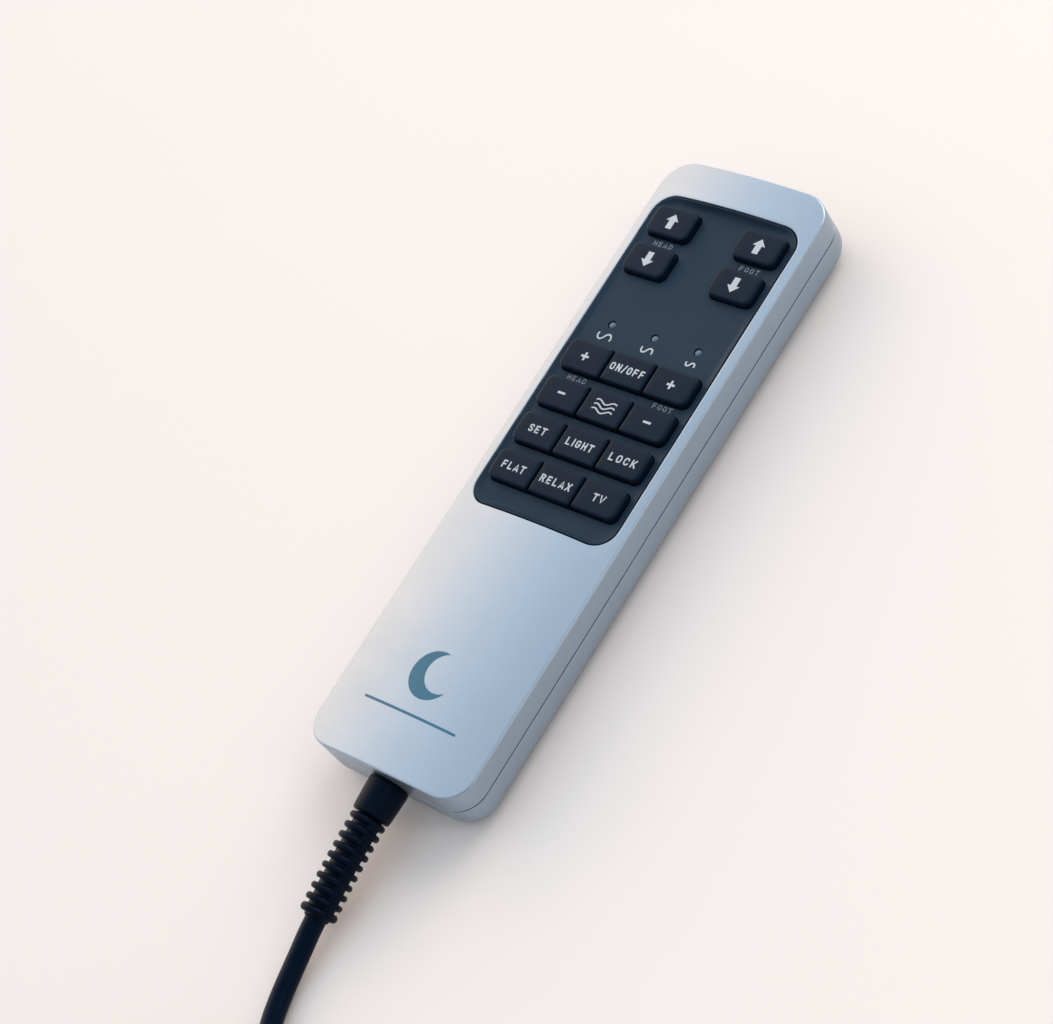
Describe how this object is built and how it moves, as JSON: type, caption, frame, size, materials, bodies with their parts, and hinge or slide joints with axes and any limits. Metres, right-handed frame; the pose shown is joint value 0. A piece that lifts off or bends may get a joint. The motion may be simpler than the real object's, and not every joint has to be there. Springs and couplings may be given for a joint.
{
  "type": "corded bed remote handset",
  "caption": "Slim corded push-button handset for an adjustable bed, with a crowned silver case, a dark keypad, a ribbed strain relief and a tied cord with a round plug.",
  "frame": {"origin": "centre of the flat back of the case, which is the face the handset lies on", "axes": "+X across the handset, +Y along it towards the head keys, away from the cord, +Z out of the keypad face"},
  "size_m": [0.052, 0.4001, 0.032],
  "materials": {
    "silver_shell": "satin silver paint on moulded ABS",
    "tray": "satin",
    "key": "satin",
    "silicone": "matte",
    "board": "solder mask",
    "black_moulding": "matte",
    "indicator_lens": "gloss",
    "nylon": "matte",
    "steel": "zinc plated",
    "pin": "nickel plated",
    "wire_red": "gloss",
    "wire_black": "gloss",
    "wire_yellow": "gloss",
    "wire_white": "gloss",
    "rubber": "matte",
    "cord_jacket": "satin",
    "tie": "matte"
  },
  "bodies": {
    "handset": {"back_shell": "silver_shell", "board_screw_1": "steel", "board_screw_2": "steel", "board_screw_3": "steel", "board_screw_4": "steel", "capacitor": "black_moulding", "case_screw_1": "steel", "case_screw_2": "steel", "case_screw_3": "steel", "case_screw_4": "steel", "circuit_board": "board", "clamp_screw_left": "steel", "clamp_screw_right": "steel", "cord": "cord_jacket", "cord_clamp": "nylon", "cord_hank": "cord_jacket", "cord_tail": "cord_jacket", "dome_mat": "silicone", "front_shell": "silver_shell", "hank_tie": "tie", "indicator_left": "indicator_lens", "indicator_middle": "indicator_lens", "indicator_right": "indicator_lens", "keypad_tray": "tray", "lead_crimp_housing": "nylon", "lead_sheath": "cord_jacket", "lead_socket": "nylon", "lead_wire_1": "wire_red", "lead_wire_2": "wire_black", "lead_wire_3": "wire_yellow", "lead_wire_4": "wire_white", "microcontroller": "black_moulding", "plug_body": "rubber", "plug_insert": "black_moulding", "plug_pin_1": "pin", "plug_pin_2": "pin", "plug_pin_3": "pin", "plug_pin_4": "pin", "plug_pin_5": "pin", "plug_shell": "steel", "resonator": "steel", "strain_relief": "rubber", "voltage_regulator": "black_moulding"},
    "key_flat": {"key_flat": "key"},
    "key_foot_down": {"key_foot_down": "key"},
    "key_foot_minus": {"key_foot_minus": "key"},
    "key_foot_plus": {"key_foot_plus": "key"},
    "key_foot_up": {"key_foot_up": "key"},
    "key_head_down": {"key_head_down": "key"},
    "key_head_minus": {"key_head_minus": "key"},
    "key_head_plus": {"key_head_plus": "key"},
    "key_head_up": {"key_head_up": "key"},
    "key_light": {"key_light": "key"},
    "key_lock": {"key_lock": "key"},
    "key_on_off": {"key_on_off": "key"},
    "key_relax": {"key_relax": "key"},
    "key_set": {"key_set": "key"},
    "key_tv": {"key_tv": "key"},
    "key_wave": {"key_wave": "key"}
  },
  "joints": [
    {"name": "key_flat_press", "type": "slide", "parent": "handset", "child": "key_flat", "axis": [0, 0, -1], "range_m": [0, 0.001], "stiffness_N_per_m": 900, "springref_m": -0.0007, "deforming": ["dome_mat"]},
    {"name": "key_foot_down_press", "type": "slide", "parent": "handset", "child": "key_foot_down", "axis": [0, 0, -1], "range_m": [0, 0.001], "stiffness_N_per_m": 900, "springref_m": -0.0007, "deforming": ["dome_mat"]},
    {"name": "key_foot_minus_press", "type": "slide", "parent": "handset", "child": "key_foot_minus", "axis": [0, 0, -1], "range_m": [0, 0.001], "stiffness_N_per_m": 900, "springref_m": -0.0007, "deforming": ["dome_mat"]},
    {"name": "key_foot_plus_press", "type": "slide", "parent": "handset", "child": "key_foot_plus", "axis": [0, 0, -1], "range_m": [0, 0.001], "stiffness_N_per_m": 900, "springref_m": -0.0007, "deforming": ["dome_mat"]},
    {"name": "key_foot_up_press", "type": "slide", "parent": "handset", "child": "key_foot_up", "axis": [0, 0, -1], "range_m": [0, 0.001], "stiffness_N_per_m": 900, "springref_m": -0.0007, "deforming": ["dome_mat"]},
    {"name": "key_head_down_press", "type": "slide", "parent": "handset", "child": "key_head_down", "axis": [0, 0, -1], "range_m": [0, 0.001], "stiffness_N_per_m": 900, "springref_m": -0.0007, "deforming": ["dome_mat"]},
    {"name": "key_head_minus_press", "type": "slide", "parent": "handset", "child": "key_head_minus", "axis": [0, 0, -1], "range_m": [0, 0.001], "stiffness_N_per_m": 900, "springref_m": -0.0007, "deforming": ["dome_mat"]},
    {"name": "key_head_plus_press", "type": "slide", "parent": "handset", "child": "key_head_plus", "axis": [0, 0, -1], "range_m": [0, 0.001], "stiffness_N_per_m": 900, "springref_m": -0.0007, "deforming": ["dome_mat"]},
    {"name": "key_head_up_press", "type": "slide", "parent": "handset", "child": "key_head_up", "axis": [0, 0, -1], "range_m": [0, 0.001], "stiffness_N_per_m": 900, "springref_m": -0.0007, "deforming": ["dome_mat"]},
    {"name": "key_light_press", "type": "slide", "parent": "handset", "child": "key_light", "axis": [0, 0, -1], "range_m": [0, 0.001], "stiffness_N_per_m": 900, "springref_m": -0.0007, "deforming": ["dome_mat"]},
    {"name": "key_lock_press", "type": "slide", "parent": "handset", "child": "key_lock", "axis": [0, 0, -1], "range_m": [0, 0.001], "stiffness_N_per_m": 900, "springref_m": -0.0007, "deforming": ["dome_mat"]},
    {"name": "key_on_off_press", "type": "slide", "parent": "handset", "child": "key_on_off", "axis": [0, 0, -1], "range_m": [0, 0.001], "stiffness_N_per_m": 900, "springref_m": -0.0007, "deforming": ["dome_mat"]},
    {"name": "key_relax_press", "type": "slide", "parent": "handset", "child": "key_relax", "axis": [0, 0, -1], "range_m": [0, 0.001], "stiffness_N_per_m": 900, "springref_m": -0.0007, "deforming": ["dome_mat"]},
    {"name": "key_set_press", "type": "slide", "parent": "handset", "child": "key_set", "axis": [0, 0, -1], "range_m": [0, 0.001], "stiffness_N_per_m": 900, "springref_m": -0.0007, "deforming": ["dome_mat"]},
    {"name": "key_tv_press", "type": "slide", "parent": "handset", "child": "key_tv", "axis": [0, 0, -1], "range_m": [0, 0.001], "stiffness_N_per_m": 900, "springref_m": -0.0007, "deforming": ["dome_mat"]},
    {"name": "key_wave_press", "type": "slide", "parent": "handset", "child": "key_wave", "axis": [0, 0, -1], "range_m": [0, 0.001], "stiffness_N_per_m": 900, "springref_m": -0.0007, "deforming": ["dome_mat"]}
  ]
}
